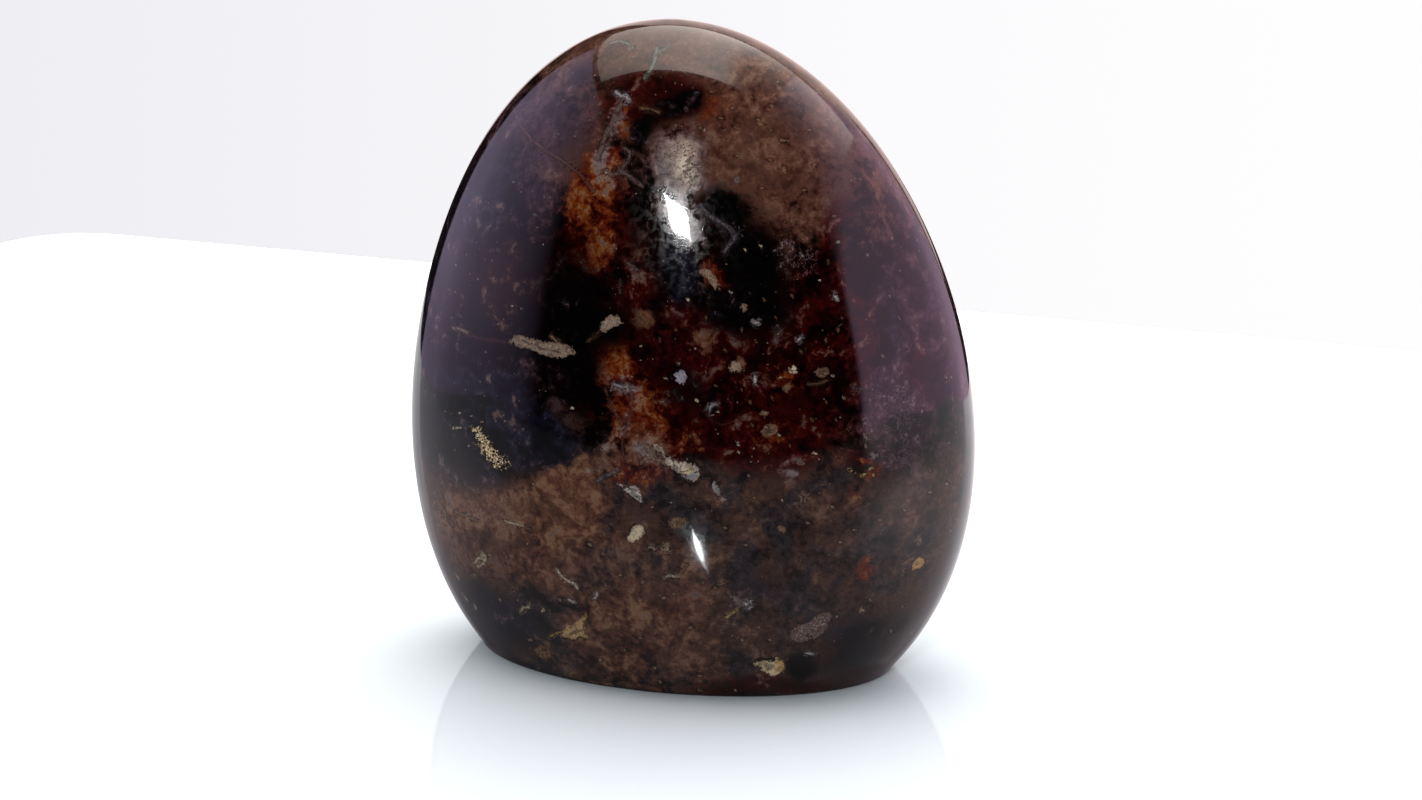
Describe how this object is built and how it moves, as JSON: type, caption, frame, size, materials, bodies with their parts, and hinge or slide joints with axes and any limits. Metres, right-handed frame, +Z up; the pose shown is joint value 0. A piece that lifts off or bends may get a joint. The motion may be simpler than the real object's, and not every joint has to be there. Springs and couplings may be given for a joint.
{
  "type": "polished black opal freeform",
  "caption": "Egg-shaped polished black opal that stands upright on a sawn flat base.",
  "frame": {"origin": "middle of the footprint of the whole stone, on the surface that it stands on", "axes": "+Z up, +X along the stone's width, to the right as seen from the front, -Y towards the front"},
  "size_m": [0.1072, 0.06, 0.12],
  "materials": {
    "opal": "polished to a mirror gloss, black to deep brown with amber, maroon, mauve and cream markings"
  },
  "bodies": {
    "root": {"opal_stone": "opal"}
  },
  "joints": []
}
